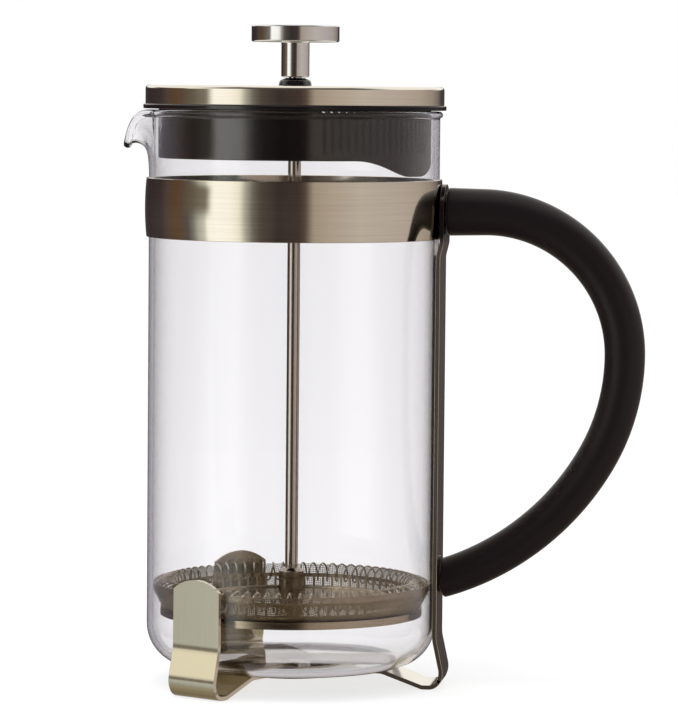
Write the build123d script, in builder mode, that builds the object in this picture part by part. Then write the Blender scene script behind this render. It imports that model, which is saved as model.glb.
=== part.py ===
"""A classic cafetiere: glass beaker in a three-legged steel stand, sheet-metal lid, rod and filter.

Frame: origin on the beaker's axis at table level, +Z up, the handle at +X, the spout at -X.
Units are millimetres.  Each physical piece is one node, written to its own STEP file.
"""
from build123d import *
from math import cos, pi, radians, sin
import os

os.makedirs("parts", exist_ok=True)

# ---------------------------------------------------------------- driving dimensions
glass_r = 48.0            # outside radius of the beaker
glass_wall = 1.6
glass_base_z = 6.4        # underside of the beaker, just above the leg strips
glass_corner_r = 13.5     # outside rounding between wall and base
base_dish = 1.2           # how far the middle of the base is pushed up
base_ring = 4.0           # width of the flat ring that the beaker stands on
rim_z = 190.0             # top of the beaded rim
bead_r = 1.25             # radius of the bead

spout_reach = 57.8        # from the axis to the tip of the beak
spout_tip_z = 178.4
spout_half_width = 19.0   # where the beak leaves the wall
spout_wall = 1.4
spout_cut_over = 2.5      # the beak's cutter stands this far above the beak
spout_cut_start = 2.0     # and starts this much further from the axis
bore_start_z = 150.0      # from here up the bore is cleared again, past the beak's root

running_gap = 0.3         # between the beaker and the stand, all round, and under the lid
fit_gap = 0.05            # between pieces that touch in the real object
press_gap = 0.02          # between pieces pressed or screwed together
stack_gap = 0.1           # between the plates of the filter
cut_run = 5.0             # a cutter starts this far inside a thin wall and ends as far outside it
sheet = 0.5               # collar sheet
collar_bottom_z = 148.1
collar_height = 19.5
collar_crown = 0.5        # how far the middle of the collar bulges

strip_width = 19.0
strip_t = 1.4
strip_flat_z = 5.6        # middle of the strip where it runs under the glass
leg_top_z = 38.6
leg_arch_r = 14.5         # rounding of the legs' top ends
leg_bend_z = 16.6         # below this the leg kicks outwards
knee_r = 51.5             # how far out the kick goes
knee_z = 4.8
foot_outer_r = 49.6
foot_inner_r = 45.0
foot_slope = 20.0         # the strip climbs inwards at this angle, degrees
strip_end_r = 8.0         # the strips stop short of each other under the glass
hub_disc_r = 18.0
strip_top_margin = 0.5    # the handle strip's arch is this much wider than the strip

joggle = 1.1              # the handle strip steps out to pass over the collar
joggle_low_z = 142.5
joggle_high_z = 147.0

grip_top_z = 157.2        # middle of the handle's upper end
grip_low_z = 37.3         # and of its lower end
grip_straight_x = 63.4    # the grip leaves the strip straight up to here
grip_bends = ((46.5, 90.0), (69.4, 30.0), (88.0, 43.5))  # radius and turn in degrees, from the top down
grip_top_r = 7.9
grip_mid_r = 6.8
grip_low_r = 6.35
grip_slim_share = 0.42    # share of the grip's length over which its thick upper end slims
grip_stations = 13
washer_t = 0.4
washer_r = 6.2

screw_r = 2.0
screw_head_r = 3.5
screw_head_t = 1.5
screw_length = 8.5
screw_gap = 0.1
insert_r = 2.8
insert_length = 7.0
insert_hole_extra = 2.5   # the hole is this much deeper than its insert

lid_top_z = 198.0
lid_r = 49.3
lid_bottom_z = 191.8
lid_sheet = 0.6
lid_corner_r = 1.2
liner_r = 45.0            # outside of the plastic skirt that drops into the beaker
liner_wall = 1.8
liner_bottom_z = 174.1
liner_web_t = 2.0
liner_band_t = 1.2        # the outer wall that fits inside the steel shell
liner_band_gap = 0.7      # between that wall and the shell
liner_flange_r = 50.0     # the flange under the shell stands out as a black line
lobe_bottom_z = 168.9
lobe_azimuth = -21.0
lobe_r = 50.2             # roundness of the lobe's lower edge
slot_count = 30
slot_pitch = 3.35         # degrees
slot_width = 1.3
slot_bottom_z = 176.4
slot_top_z = 188.0

rod_r = 2.1
slide_gap = 0.05          # radial clearance of the rod in its guide
bush_shank_r = 3.8
bush_dome_r = 5.5
bush_dome_top_r = 3.15
bush_dome_h = 2.6
bush_shoulder_in = 0.55   # the dome's widest bulge, this far in from its foot
bush_shoulder_up = 0.62   # and at this share of its height
bush_below_nut = 2.5
nut_r = 6.5
nut_h = 3.4

knob_stem_r = 4.65
knob_stem_bottom_z = 200.85
knob_r = 14.5
knob_bottom_z = 212.5
knob_top_z = 218.0
knob_edge = 0.6
stem_chamfer = 0.4
rod_below_knob_disc = 2.0 # the rod ends this far below the knob's disc
rod_above_nut_end = 0.4
rod_chamfer = 0.4

cross_plate_r = 43.5
cross_plate_t = 0.7
cross_plate_z = 25.0      # underside of its disc
cross_rim_bottom_z = 23.3
cross_hole_r = 4.5
cross_hole_circle_r = 27.0
cross_hole_count = 8
mesh_t = 0.3
mesh_foot_r = 43.3
mesh_max_r = 46.1
mesh_widest_z = 33.0
mesh_top_z = 34.1
mesh_lip_in = 0.15        # the screen's edge turns in this much above and below its widest ring
mesh_lip_drop = 1.5
dish_t = 0.6
dish_corner_r = 0.9
dish_rim_r = 40.5
dish_rim_top_z = 31.6
coil_centre_r = 42.2
coil_centre_z = 32.3
coil_r = 2.9
coil_wire_r = 0.27
coil_turns = 76
coil_hole_width = 1.8
coil_hole_low_z = 28.1
coil_hole_high_z = 31.1
hub_r = 4.15
hub_top_z = 38.4
hub_chamfer = 0.6
filter_nut_r = 4.5
filter_nut_bottom_z = 20.5

# ---------------------------------------------------------------- helpers
def radial_plane(azimuth, height=0.0):
    """Upright plane through the axis: local x points outwards at the azimuth, local y is up."""
    a = radians(azimuth)
    return Plane(origin=(0, 0, height), x_dir=(cos(a), sin(a), 0), z_dir=(sin(a), -cos(a), 0))


def facing_plane(azimuth, radius, height):
    """Upright plane that faces outwards at the azimuth: local y is up."""
    a = radians(azimuth)
    out = (cos(a), sin(a), 0)
    return Plane(origin=(radius * out[0], radius * out[1], height), x_dir=(-sin(a), cos(a), 0), z_dir=out)


def save(builder, label):
    """Label a finished piece and write its STEP file."""
    builder.part.label = label
    export_step(builder.part, f"parts/{label}.step")


# ---------------------------------------------------------------- glass beaker
inner_r = glass_r - glass_wall
corner_centre_r = glass_r - glass_corner_r
corner_centre_z = glass_base_z + glass_corner_r
inner_corner_r = glass_corner_r - glass_wall
floor_z = glass_base_z + glass_wall
diagonal = cos(pi / 4)
dish_start_r = corner_centre_r - base_ring
spout_sections = (
    # distance from the axis, half width, lowest height, top height
    (41.0, spout_half_width + 1.0, spout_tip_z - 9.4, rim_z - 0.6),
    (47.0, 14.5, spout_tip_z - 1.8, rim_z - 0.6),
    (51.0, 10.0, spout_tip_z + 0.6, rim_z - 0.8),
    (54.0, 7.0, spout_tip_z + 1.5, rim_z - 3.1),
    (56.3, 4.8, spout_tip_z + 1.0, rim_z - 5.8),
    (spout_reach, 3.0, spout_tip_z, rim_z - 9.0),
)


def spout_loft(inset, lift, start_shift, mode):
    """The beak: a trough that narrows and bends down towards its tip, inset for its inside."""
    sections = []
    for number, (reach, half_width, low, high) in enumerate(spout_sections):
        shift = start_shift if number == 0 else 0.0
        plane = Plane(origin=(-reach + shift, 0, high + lift), x_dir=(0, -1, 0), z_dir=(-1, 0, 0))
        wide = half_width - inset
        deep = high + lift - low - inset
        with BuildSketch(plane) as trough:
            with BuildLine():
                bowl = EllipticalCenterArc((0, 0), wide, deep, start_angle=180, arc_size=180)
                Line(bowl @ 0, bowl @ 1)
            make_face()
        sections.append(trough.sketch)
    loft(sections, ruled=True, mode=mode)


with BuildPart() as glass_beaker:
    spout_loft(inset=0.0, lift=0.0, start_shift=0.0, mode=Mode.ADD)
    with BuildSketch(Plane.XY.offset(bore_start_z)):
        Circle(inner_r)
    extrude(amount=rim_z - bore_start_z + cut_run, mode=Mode.SUBTRACT)
    with BuildSketch(Plane.XZ):
        with BuildLine():
            Line((0, glass_base_z + base_dish), (dish_start_r, glass_base_z))
            Line((dish_start_r, glass_base_z), (corner_centre_r, glass_base_z))
            ThreePointArc(
                (corner_centre_r, glass_base_z),
                (corner_centre_r + glass_corner_r * diagonal, corner_centre_z - glass_corner_r * diagonal),
                (glass_r, corner_centre_z),
            )
            Line((glass_r, corner_centre_z), (glass_r, rim_z - bead_r))
            Line((glass_r, rim_z - bead_r), (inner_r, rim_z - bead_r))
            Line((inner_r, rim_z - bead_r), (inner_r, corner_centre_z))
            ThreePointArc(
                (inner_r, corner_centre_z),
                (corner_centre_r + inner_corner_r * diagonal, corner_centre_z - inner_corner_r * diagonal),
                (corner_centre_r, floor_z),
            )
            Line((corner_centre_r, floor_z), (dish_start_r, floor_z))
            Line((dish_start_r, floor_z), (0, floor_z + base_dish))
            Line((0, floor_z + base_dish), (0, glass_base_z + base_dish))
        make_face()
    revolve(axis=Axis.Z)
    with BuildSketch(Plane.XZ):
        with Locations((inner_r + bead_r, rim_z - bead_r)):
            Circle(bead_r)
    revolve(axis=Axis.Z)
    spout_loft(inset=spout_wall, lift=spout_cut_over, start_shift=spout_cut_start, mode=Mode.SUBTRACT)
save(glass_beaker, "glass_beaker")

# ---------------------------------------------------------------- collar band
collar_r = glass_r + running_gap
collar_top_z = collar_bottom_z + collar_height
collar_mid_z = collar_bottom_z + collar_height / 2
upper_screw_x = collar_r + collar_crown

with BuildPart() as collar_band:
    with BuildSketch(Plane.XZ):
        with BuildLine():
            inside = ThreePointArc(
                (collar_r, collar_bottom_z), (collar_r + collar_crown, collar_mid_z), (collar_r, collar_top_z)
            )
            outside = ThreePointArc(
                (collar_r + sheet, collar_bottom_z),
                (collar_r + sheet + collar_crown, collar_mid_z),
                (collar_r + sheet, collar_top_z),
            )
            Line(inside @ 0, outside @ 0)
            Line(inside @ 1, outside @ 1)
        make_face()
    revolve(axis=Axis.Z)
    with BuildSketch(facing_plane(0, collar_r - cut_run, grip_top_z)):
        Circle(screw_head_r + fit_gap)
    extrude(amount=2 * cut_run, mode=Mode.SUBTRACT)
save(collar_band, "collar_band")

# ---------------------------------------------------------------- stand: legs, handle strip, disc
strip_r = glass_r + running_gap + strip_t / 2
strip_bottom = strip_t / 2
climb = (strip_flat_z - strip_bottom) / (sin(radians(foot_slope)) / cos(radians(foot_slope)))
foot_points = [
    (strip_r, leg_bend_z),
    (knee_r, knee_z),
    (foot_outer_r, strip_bottom),
    (foot_inner_r, strip_bottom),
    (foot_inner_r - climb, strip_flat_z),
    (strip_end_r, strip_flat_z),
]
foot_radii = [5, 6, 3.6, 3, 6]


def bent_strip(azimuth, upper_points, upper_radii):
    """A flat strip bent along an upright outline, from its upper end to its end under the glass."""
    plane = radial_plane(azimuth)
    points = upper_points + foot_points
    with BuildLine(plane) as outline:
        FilletPolyline(*points, radius=upper_radii + foot_radii)
    start = outline.wires()[0]
    section_plane = Plane(origin=start @ 0, x_dir=plane.z_dir, z_dir=start % 0)
    with BuildSketch(section_plane) as section:
        Rectangle(strip_width, strip_t)
    sweep(section.sketch, path=start)


def arched_top(azimuth, top_z, arch_r):
    """Cut the upper end of a strip to an arch."""
    with BuildSketch(facing_plane(azimuth, strip_r - cut_run, top_z - arch_r)) as corners:
        with Locations((0, arch_r)):
            Rectangle(strip_width * 1.1, arch_r)
        Circle(arch_r, mode=Mode.SUBTRACT)
    extrude(corners.sketch, amount=2 * cut_run, mode=Mode.SUBTRACT)


def countersunk_hole(face_x, height):
    """Screw hole along +X whose countersink starts at face_x."""
    with Locations(Plane(origin=(face_x, 0, height), x_dir=(0, 1, 0), z_dir=(-1, 0, 0))):
        CounterSinkHole(radius=screw_r + screw_gap, counter_sink_radius=screw_head_r + fit_gap)


with BuildPart() as front_leg_strip:
    bent_strip(-120, [(strip_r, leg_top_z)], [])
    arched_top(-120, leg_top_z, leg_arch_r)
save(front_leg_strip, "front_leg_strip")

with BuildPart() as rear_leg_strip:
    bent_strip(120, [(strip_r, leg_top_z)], [])
    arched_top(120, leg_top_z, leg_arch_r)
save(rear_leg_strip, "rear_leg_strip")

handle_strip_top_z = grip_top_z + strip_width / 2 - strip_top_margin
upper_face_x = strip_r + joggle + strip_t / 2
lower_face_x = strip_r + strip_t / 2
with BuildPart() as handle_strip:
    bent_strip(
        0,
        [
            (strip_r + joggle, handle_strip_top_z),
            (strip_r + joggle, joggle_high_z),
            (strip_r, joggle_low_z),
        ],
        [5, 5],
    )
    arched_top(0, handle_strip_top_z, strip_width / 2 + strip_top_margin)
    countersunk_hole(collar_r, grip_low_z)
    with BuildSketch(facing_plane(0, collar_r - cut_run, grip_top_z)):
        Circle(screw_head_r + fit_gap)
    extrude(amount=2 * cut_run, mode=Mode.SUBTRACT)
save(handle_strip, "handle_strip")

with BuildPart() as base_disc:
    with BuildSketch(Plane.XY.offset(strip_flat_z - strip_t * 1.5)):
        Circle(hub_disc_r)
    extrude(amount=strip_t)
save(base_disc, "base_disc")

# ---------------------------------------------------------------- handle and its fixings
# middle line of the grip: straight, then three tangent bends that open out downwards
grip_start_x = upper_face_x + washer_t
grip_end_x = lower_face_x + washer_t
with BuildLine(Plane.XZ) as grip_line:
    run = Line((grip_start_x, grip_top_z), (grip_straight_x, grip_top_z))
    for bend_r, bend_turn in grip_bends:
        run = JernArc(run @ 1, run % 1, radius=bend_r, arc_size=-bend_turn)
grip_wire = grip_line.wires()[0]


def grip_radius(along):
    """The grip is thickest at its upper end, slims quickly to the middle and a little to its lower end."""
    slim = 1 - min(along / grip_slim_share, 1)
    return grip_low_r + (grip_mid_r - grip_low_r) * (1 - along) ** 0.5 + (grip_top_r - grip_mid_r) * slim**1.6


with BuildPart() as handle_grip:
    for station in range(grip_stations):
        along = station / (grip_stations - 1)
        with BuildSketch(Plane(origin=grip_wire @ along, x_dir=(0, 1, 0), z_dir=grip_wire % along)):
            Circle(grip_radius(along))
    loft()
    split(bisect_by=Plane(origin=(grip_end_x, 0, 0), x_dir=(0, 1, 0), z_dir=(1, 0, 0)), keep=Keep.TOP)
    for face_x, height in ((grip_start_x, grip_top_z), (grip_end_x, grip_low_z)):
        with BuildSketch(facing_plane(0, face_x - stack_gap, height)):
            Circle(insert_r + press_gap)
        extrude(amount=stack_gap + insert_length + insert_hole_extra, mode=Mode.SUBTRACT)
save(handle_grip, "handle_grip")

with BuildPart() as handle_inserts:
    for face_x, height in ((grip_start_x, grip_top_z), (grip_end_x, grip_low_z)):
        with BuildSketch(facing_plane(0, face_x, height)):
            Circle(insert_r)
            Circle(screw_r + fit_gap, mode=Mode.SUBTRACT)
        extrude(amount=insert_length)
save(handle_inserts, "handle_inserts")

with BuildPart() as handle_washers:
    for face_x, height in ((upper_face_x, grip_top_z), (lower_face_x, grip_low_z)):
        with BuildSketch(facing_plane(0, face_x, height)):
            Circle(washer_r)
            Circle(screw_head_r + fit_gap, mode=Mode.SUBTRACT)
        extrude(amount=washer_t)
save(handle_washers, "handle_washers")

with BuildPart() as handle_screws:
    for face_x, height in ((upper_screw_x, grip_top_z), (collar_r, grip_low_z)):
        with BuildSketch(Plane(origin=(face_x, 0, height), x_dir=(1, 0, 0), z_dir=(0, -1, 0))):
            with BuildLine():
                Polyline(
                    (0, 0),
                    (0, screw_head_r),
                    (screw_head_t, screw_r),
                    (screw_length, screw_r),
                    (screw_length, 0),
                    close=True,
                )
            make_face()
        revolve(axis=Axis((0, 0, height), (1, 0, 0)))
save(handle_screws, "handle_screws")

# ---------------------------------------------------------------- lid: steel shell and plastic liner
bush_hole_r = bush_shank_r + slide_gap
with BuildPart() as lid_shell:
    with BuildSketch(Plane.XZ) as shell_profile:
        with BuildLine():
            Polyline(
                (bush_hole_r, lid_top_z),
                (lid_r, lid_top_z),
                (lid_r, lid_bottom_z),
                (lid_r - lid_sheet, lid_bottom_z),
                (lid_r - lid_sheet, lid_top_z - lid_sheet),
                (bush_hole_r, lid_top_z - lid_sheet),
                close=True,
            )
        make_face()
        top_corner = shell_profile.vertices().group_by(Axis.Y)[-1].sort_by(Axis.X)[-1]
        fillet(top_corner, lid_corner_r)
    revolve(axis=Axis.Z)
save(lid_shell, "lid_shell")

liner_top_z = lid_top_z - lid_sheet - fit_gap
liner_web_z = liner_top_z - liner_web_t
liner_outer_r = lid_r - lid_sheet - liner_band_gap
liner_flange_top_z = lid_bottom_z - fit_gap
liner_flange_z = rim_z + running_gap
with BuildPart() as liner_lobe:
    with BuildSketch(Plane.XY.offset(lobe_bottom_z)):
        Circle(liner_r)
        Circle(liner_r - liner_wall, mode=Mode.SUBTRACT)
    extrude(amount=liner_bottom_z - lobe_bottom_z + liner_wall)
    with BuildSketch(facing_plane(lobe_azimuth, 0, lobe_bottom_z + lobe_r)):
        Circle(lobe_r)
    extrude(amount=liner_r + cut_run, mode=Mode.INTERSECT)

with BuildPart() as lid_liner:
    with BuildSketch(Plane.XZ):
        with BuildLine():
            Polyline(
                (bush_hole_r, liner_top_z),
                (liner_outer_r, liner_top_z),
                (liner_outer_r, liner_flange_top_z),
                (liner_flange_r, liner_flange_top_z),
                (liner_flange_r, liner_flange_z),
                (liner_outer_r - liner_band_t, liner_flange_z),
                (liner_outer_r - liner_band_t, liner_web_z),
                (liner_r, liner_web_z),
                (liner_r, liner_bottom_z),
                (liner_r - liner_wall, liner_bottom_z),
                (liner_r - liner_wall, liner_web_z),
                (bush_hole_r, liner_web_z),
                close=True,
            )
        make_face()
    revolve(axis=Axis.Z)
    add(liner_lobe.part)
    for slot in range(slot_count):
        azimuth = lobe_azimuth + (slot - (slot_count - 1) / 2) * slot_pitch
        with BuildSketch(facing_plane(azimuth, liner_r - cut_run, (slot_bottom_z + slot_top_z) / 2)):
            Rectangle(slot_width, slot_top_z - slot_bottom_z)
        extrude(amount=2 * cut_run, mode=Mode.SUBTRACT)
save(lid_liner, "lid_liner")

# ---------------------------------------------------------------- rod guide in the lid
bush_bore_r = rod_r + slide_gap
dome_base_z = lid_top_z + fit_gap
bush_bottom_z = liner_web_z - nut_h - bush_below_nut
with BuildPart() as lid_bush:
    with BuildSketch(Plane.XZ):
        with BuildLine():
            dome = ThreePointArc(
                (bush_dome_r, dome_base_z),
                (bush_dome_r - bush_shoulder_in, dome_base_z + bush_dome_h * bush_shoulder_up),
                (bush_dome_top_r, dome_base_z + bush_dome_h),
            )
            Polyline(
                dome @ 1,
                (bush_bore_r, dome_base_z + bush_dome_h),
                (bush_bore_r, bush_bottom_z),
                (bush_shank_r, bush_bottom_z),
                (bush_shank_r, dome_base_z),
                dome @ 0,
            )
        make_face()
    revolve(axis=Axis.Z)
save(lid_bush, "lid_bush")

with BuildPart() as bush_nut:
    with BuildSketch(Plane.XY.offset(liner_web_z - stack_gap)):
        RegularPolygon(nut_r, 6)
        Circle(bush_shank_r + press_gap, mode=Mode.SUBTRACT)
    extrude(amount=-nut_h)
save(bush_nut, "bush_nut")

# ---------------------------------------------------------------- plunger: knob, rod, hub
rod_top_z = knob_bottom_z - rod_below_knob_disc
rod_bottom_z = filter_nut_bottom_z + rod_above_nut_end
with BuildPart() as knob:
    with BuildSketch(Plane.XZ) as knob_profile:
        with BuildLine():
            Polyline(
                (rod_r + press_gap, knob_stem_bottom_z),
                (knob_stem_r, knob_stem_bottom_z),
                (knob_stem_r, knob_bottom_z),
                (knob_r, knob_bottom_z),
                (knob_r, knob_top_z),
                (0, knob_top_z),
                (0, rod_top_z),
                (rod_r + press_gap, rod_top_z),
                close=True,
            )
        make_face()
        rim_corners = knob_profile.vertices().group_by(Axis.X)[-1]
        fillet(rim_corners, knob_edge)
        stem_corner = knob_profile.vertices().group_by(Axis.Y)[0].sort_by(Axis.X)[-1]
        chamfer(stem_corner, stem_chamfer)
    revolve(axis=Axis.Z)
save(knob, "knob")

with BuildPart() as plunger_rod:
    with BuildSketch(Plane.XY.offset(rod_bottom_z)):
        Circle(rod_r)
    extrude(amount=rod_top_z - rod_bottom_z)
    chamfer(plunger_rod.edges().group_by(Axis.Z)[0], rod_chamfer)
save(plunger_rod, "plunger_rod")

dish_z = cross_plate_z + cross_plate_t + mesh_t + stack_gap
hub_bottom_z = dish_z + dish_t + stack_gap
with BuildPart() as rod_hub:
    with BuildSketch(Plane.XY.offset(hub_bottom_z)):
        Circle(hub_r)
        Circle(rod_r + press_gap, mode=Mode.SUBTRACT)
    extrude(amount=hub_top_z - hub_bottom_z)
    outer_top = rod_hub.edges().group_by(Axis.Z)[-1].sort_by(SortBy.LENGTH)[-1]
    chamfer(outer_top, hub_chamfer)
save(rod_hub, "rod_hub")

# ---------------------------------------------------------------- filter pack
with BuildPart() as cross_plate:
    with BuildSketch(Plane.XZ):
        with BuildLine():
            Polyline(
                (bush_bore_r, cross_plate_z),
                (bush_bore_r, cross_plate_z + cross_plate_t),
                (cross_plate_r, cross_plate_z + cross_plate_t),
                (cross_plate_r, cross_rim_bottom_z),
                (cross_plate_r - cross_plate_t, cross_rim_bottom_z),
                (cross_plate_r - cross_plate_t, cross_plate_z),
                close=True,
            )
        make_face()
    revolve(axis=Axis.Z)
    with BuildSketch(Plane.XY.offset(cross_plate_z - cut_run)):
        with PolarLocations(cross_hole_circle_r, cross_hole_count):
            Circle(cross_hole_r)
    extrude(amount=2 * cut_run, mode=Mode.SUBTRACT)
save(cross_plate, "cross_plate")

mesh_z = cross_plate_z + cross_plate_t + fit_gap
mesh_skin = mesh_t + fit_gap
mesh_lip_r = mesh_max_r - mesh_lip_in
with BuildPart() as mesh_screen:
    with BuildSketch(Plane.XZ):
        with BuildLine():
            Polyline(
                (bush_bore_r, mesh_z),
                (mesh_foot_r, mesh_z),
                (mesh_lip_r, mesh_widest_z - mesh_lip_drop),
                (mesh_max_r, mesh_widest_z),
                (mesh_lip_r, mesh_top_z),
                (mesh_lip_r - mesh_skin, mesh_top_z),
                (mesh_max_r - mesh_skin, mesh_widest_z),
                (mesh_lip_r - mesh_skin, mesh_widest_z - mesh_lip_drop),
                (mesh_foot_r - mesh_t, mesh_z + mesh_t),
                (bush_bore_r, mesh_z + mesh_t),
                close=True,
            )
        make_face()
    revolve(axis=Axis.Z)
save(mesh_screen, "mesh_screen")

with BuildPart() as spring_plate:
    with BuildSketch(Plane.XZ) as dish_profile:
        with BuildLine():
            Polyline(
                (bush_bore_r, dish_z),
                (dish_rim_r, dish_z),
                (dish_rim_r, dish_rim_top_z),
                (dish_rim_r - dish_t, dish_rim_top_z),
                (dish_rim_r - dish_t, dish_z + dish_t),
                (bush_bore_r, dish_z + dish_t),
                close=True,
            )
        make_face()
        dish_corner = dish_profile.vertices().group_by(Axis.Y)[0].sort_by(Axis.X)[-1]
        fillet(dish_corner, dish_corner_r)
    revolve(axis=Axis.Z)
    for turn in range(coil_turns):
        azimuth = turn * 360 / coil_turns
        with BuildSketch(facing_plane(azimuth, dish_rim_r - cut_run, (coil_hole_low_z + coil_hole_high_z) / 2)):
            Rectangle(coil_hole_width, coil_hole_high_z - coil_hole_low_z)
        extrude(amount=2 * cut_run, mode=Mode.SUBTRACT)
save(spring_plate, "spring_plate")

with BuildPart() as coil_spring:
    with PolarLocations(coil_centre_r, coil_turns):
        with Locations(Location((0, 0, coil_centre_z), (90, 0, 0))):
            Torus(coil_r, coil_wire_r)
save(coil_spring, "coil_spring")

with BuildPart() as filter_nut:
    with BuildSketch(Plane.XY.offset(filter_nut_bottom_z)):
        RegularPolygon(filter_nut_r, 6)
        Circle(bush_bore_r, mode=Mode.SUBTRACT)
    extrude(amount=cross_plate_z - filter_nut_bottom_z)
save(filter_nut, "filter_nut")
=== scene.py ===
# %% [markdown]
# # A glass coffee press
# A glass beaker stands in a frame of bent steel strips. A pressed steel lid with a black plastic liner
# guides a steel rod, and the rod carries a sprung filter of fine woven wire. This notebook builds the
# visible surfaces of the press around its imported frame, one piece at a time.
#
# Lengths are written in millimetres, as a maker would, and turned into metres where a mesh is made.
# The frame has the beaker's axis on Z, the table at z = 0, the handle at +X and the spout at -X.

# %% Load the frame
import bpy
import bmesh
import numpy as np
from math import cos, pi, radians, sin, tan
from mathutils import Matrix, Vector


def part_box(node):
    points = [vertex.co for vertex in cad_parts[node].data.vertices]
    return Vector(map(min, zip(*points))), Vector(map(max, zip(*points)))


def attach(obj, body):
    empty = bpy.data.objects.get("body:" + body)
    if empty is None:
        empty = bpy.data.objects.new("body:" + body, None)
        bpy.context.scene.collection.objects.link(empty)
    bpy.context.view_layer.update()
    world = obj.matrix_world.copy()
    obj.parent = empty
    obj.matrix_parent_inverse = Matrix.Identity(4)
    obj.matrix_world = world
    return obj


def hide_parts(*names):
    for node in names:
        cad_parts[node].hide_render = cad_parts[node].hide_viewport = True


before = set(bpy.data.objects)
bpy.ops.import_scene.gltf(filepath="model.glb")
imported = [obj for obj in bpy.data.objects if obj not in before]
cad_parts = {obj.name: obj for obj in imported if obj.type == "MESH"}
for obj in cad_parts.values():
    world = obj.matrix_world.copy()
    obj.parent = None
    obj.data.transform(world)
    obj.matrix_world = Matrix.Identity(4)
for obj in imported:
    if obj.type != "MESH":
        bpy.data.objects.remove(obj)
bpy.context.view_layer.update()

MM = 0.001


def corners_of(node):
    """Lowest and highest corner of a frame node, in millimetres."""
    low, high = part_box(node)
    return np.array(low) / MM, np.array(high) / MM

# %% [markdown]
# ## Shapes as grids
# Every new surface here is a grid: one direction runs along an outline, the other round or across the
# piece. A grid keeps the mesh regular, so highlights run smoothly over it, and its faces follow from its
# row and column numbers alone. The alternative, modelling by hand with loops and extrusions, would be
# slower and harder to change.


# %% Grid helpers
def grid_quads(rows, columns, wrap_rows, wrap_columns):
    """Four corner numbers of each cell of a grid whose points are stored row by row."""
    row = np.arange(rows if wrap_rows else rows - 1)
    column = np.arange(columns if wrap_columns else columns - 1)
    r, c = np.meshgrid(row, column, indexing="ij")
    r2, c2 = (r + 1) % rows, (c + 1) % columns
    quads = [r * columns + c, r * columns + c2, r2 * columns + c2, r2 * columns + c]
    return np.stack(quads, -1).reshape(-1, 4)


def make_piece(name, parts, sharp=35, uv=None):
    """Mesh object from a list of (points in mm, quads). Doubles are merged, so poles and seams close.

    uv is a pair of a map's name and one (u, v) in mm for each point, and its map is kept in metres.
    """
    points = np.concatenate([p.reshape(-1, 3) for p, _ in parts])
    starts = np.cumsum([0] + [p.reshape(-1, 3).shape[0] for p, _ in parts[:-1]])
    quads = np.concatenate([q + s for (_, q), s in zip(parts, starts)])
    mesh = bpy.data.meshes.new(name)
    mesh.from_pydata((points * MM).tolist(), [], quads.tolist())
    if uv:
        layer = mesh.uv_layers.new(name=uv[0])
        layer.data.foreach_set("uv", (uv[1].reshape(-1, 2)[quads.reshape(-1)] * MM).reshape(-1))
    shape = bmesh.new()
    shape.from_mesh(mesh)
    bmesh.ops.remove_doubles(shape, verts=shape.verts, dist=2e-7)
    bmesh.ops.dissolve_degenerate(shape, edges=shape.edges, dist=1e-8)
    bmesh.ops.recalc_face_normals(shape, faces=shape.faces)
    shape.to_mesh(mesh)
    shape.free()
    mesh.shade_smooth()
    mesh.set_sharp_from_angle(angle=radians(sharp))
    piece = bpy.data.objects.new(name, mesh)
    bpy.context.scene.collection.objects.link(piece)
    return piece


def finish_piece(piece, body, slot, material, *nodes):
    """Give a piece its finish, let it ride on its body and stand for its frame nodes."""
    piece.data.materials.clear()
    piece.data.materials.append(material)
    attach(piece, body)
    if nodes:
        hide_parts(*nodes)
    print(f"{piece.name}: {len(piece.data.polygons)} faces on {body}")


def rounded(corners, radii, closed=True, step=11):
    """Outline through the corners, each turned by an arc of its radius.

    An arc touches both runs at radius / tan(half the corner), and its points are spread evenly by angle.
    A point just outside each end of the arc holds the flat runs flat when they are shaded smooth.
    """
    corners = np.asarray(corners, float)
    count = len(corners)
    outline = []
    for i, radius in enumerate(radii):
        p = corners[i]
        if radius == 0 or (not closed and i in (0, count - 1)):
            outline.append(p[None])
            continue
        back_run, on_run = corners[i - 1] - p, corners[(i + 1) % count] - p
        back_len, on_len = np.linalg.norm(back_run), np.linalg.norm(on_run)
        back_dir, on_dir = back_run / back_len, on_run / on_len
        half = np.arccos(np.clip(back_dir @ on_dir, -1, 1)) / 2
        touch = radius / tan(half)
        middle = back_dir + on_dir
        centre = p + middle / np.linalg.norm(middle) * radius / sin(half)
        turn = pi - 2 * half
        steps = max(3, int(np.degrees(turn) / step) + 1)
        t = np.linspace(0, 1, steps + 1)[:, None]
        first, last = p + back_dir * touch - centre, p + on_dir * touch - centre
        arc = centre + (np.sin((1 - t) * turn) * first + np.sin(t * turn) * last) / sin(turn)
        lead = touch + 0.12 * radius
        before = p + back_dir * min(lead, 0.48 * back_len + 0.5 * touch)
        after = p + on_dir * min(lead, 0.48 * on_len + 0.5 * touch)
        outline.append(np.vstack([before, arc, after]))
    return np.vstack(outline)


def densify(outline, longest):
    """Add evenly spaced points to runs longer than the limit."""
    pieces = []
    for a, b in zip(outline[:-1], outline[1:]):
        steps = max(1, int(np.ceil(np.linalg.norm(b - a) / longest)))
        pieces.append(a + (b - a) * np.linspace(0, 1, steps, endpoint=False)[:, None])
    return np.vstack(pieces + [outline[-1:]])


def distance_along(outline):
    """Distance of each point of an outline from its start."""
    return np.r_[0, np.cumsum(np.linalg.norm(np.diff(outline, axis=0), axis=1))]


def wall_grid(radius, azimuth, height):
    """Points (radius * cos a, radius * sin a, height), each value an array that spreads over the grid."""
    radius, azimuth, height = np.broadcast_arrays(radius, azimuth, height)
    return np.stack([radius * np.cos(azimuth), radius * np.sin(azimuth), height], -1)


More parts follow.
